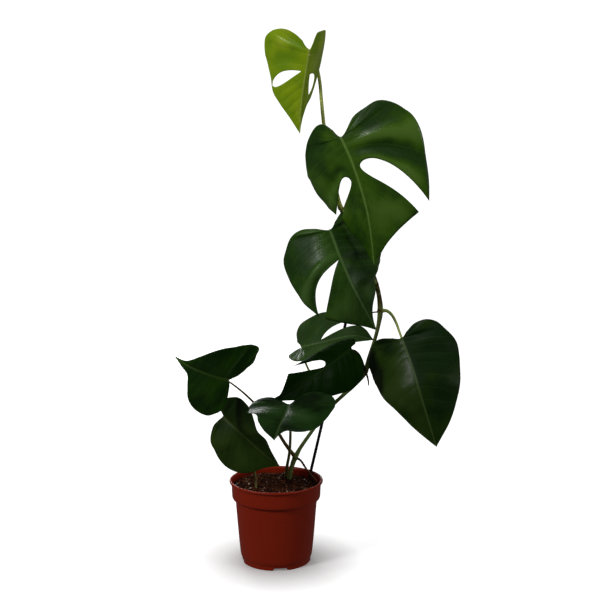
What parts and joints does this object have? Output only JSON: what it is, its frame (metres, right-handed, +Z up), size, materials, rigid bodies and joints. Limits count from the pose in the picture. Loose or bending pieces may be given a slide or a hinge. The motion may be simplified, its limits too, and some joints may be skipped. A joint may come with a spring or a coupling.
{
  "type": "potted plant",
  "caption": "Potted climbing monstera with heart-shaped and slit leaves on thin stalks, a bent stem with aerial roots and a stake, in a round terracotta-coloured nursery pot with a deep collar.",
  "frame": {"origin": "centre of the flat pad under the pot's floor, on the pot's axis", "axes": "+Z up along the pot's axis, -Y towards the side the picture shows, +X to its right"},
  "size_m": [0.3425, 0.2535, 0.6698],
  "materials": {
    "pot_plastic": "satin moulded",
    "soil": "rough fibrous",
    "stake_plastic": "satin",
    "stem": "smooth green bark",
    "young_leaf": "satin",
    "leaf": "satin waxy",
    "stalk": "satin",
    "root": "dry matte"
  },
  "bodies": {
    "root": {"nursery_pot": "pot_plastic", "potting_soil": "soil", "support_stake": "stake_plastic", "climbing_stem": "stem", "leaf_1": "young_leaf", "leaf_2": "leaf", "leaf_3": "leaf", "leaf_4": "leaf", "leaf_5": "leaf", "leaf_6": "leaf", "leaf_7": "leaf", "leaf_8": "leaf", "leaf_9": "leaf", "petiole_1": "stalk", "petiole_2": "stalk", "petiole_3": "stalk", "petiole_4": "stalk", "petiole_5": "stalk", "petiole_6": "stalk", "petiole_7": "stalk", "petiole_8": "stalk", "petiole_9": "stalk", "aerial_root_1": "root", "aerial_root_2": "root", "aerial_root_3": "root"}
  },
  "joints": []
}
